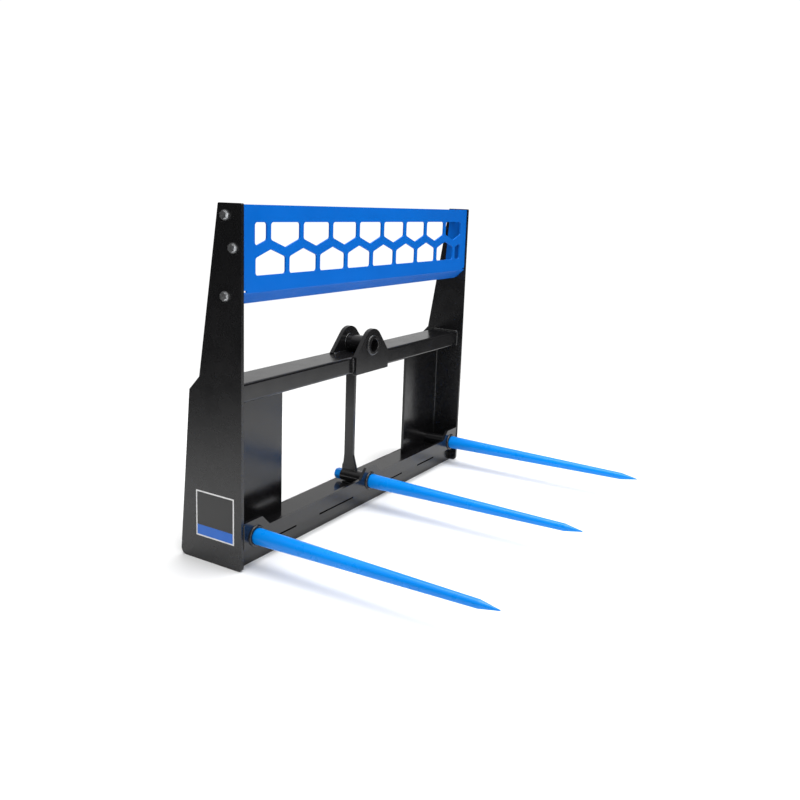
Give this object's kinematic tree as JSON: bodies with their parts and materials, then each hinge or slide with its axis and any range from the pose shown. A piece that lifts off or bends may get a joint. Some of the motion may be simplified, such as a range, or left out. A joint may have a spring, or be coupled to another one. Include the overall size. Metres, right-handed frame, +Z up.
{
  "type": "bale spear",
  "caption": "Skid-steer bale spear: welded frame with side plates, cross tube and folded lower channel, tapered spears in sleeves, an upper spear socket and a bolted perforated headboard.",
  "frame": {"origin": "on the ground plane, under the middle of the whole object's box", "axes": "+X to the right across the width as seen from in front, spears point along -Y, +Z up"},
  "size_m": [1.2112, 0.904, 0.93],
  "materials": {
    "frame_black": "glossy black powder coat",
    "spear_blue": "glossy blue powder coat",
    "nut_blue": "glossy blue paint",
    "headboard_blue": "satin blue powder coat",
    "zinc": "bright zinc plated"
  },
  "bodies": {
    "root": {"side_plate_left": "frame_black", "side_plate_right": "frame_black", "upper_tube": "frame_black", "lug_front": "frame_black", "lug_rear": "frame_black", "upper_socket": "frame_black", "qa_panel_left": "frame_black", "qa_panel_right": "frame_black", "top_hook_left": "frame_black", "top_hook_right": "frame_black", "lower_channel": "frame_black", "front_plate": "frame_black", "centre_post": "frame_black", "spear_sleeve_left": "frame_black", "spear_sleeve_centre": "frame_black", "spear_sleeve_right": "frame_black", "spear_left": "spear_blue", "spear_centre": "spear_blue", "spear_right": "spear_blue", "spear_nut_left": "nut_blue", "spear_nut_centre": "nut_blue", "spear_nut_right": "nut_blue", "headboard": "headboard_blue", "headboard_bolts_left": "zinc", "headboard_bolts_right": "zinc", "headboard_nuts_left": "zinc", "headboard_nuts_right": "zinc"}
  },
  "joints": []
}
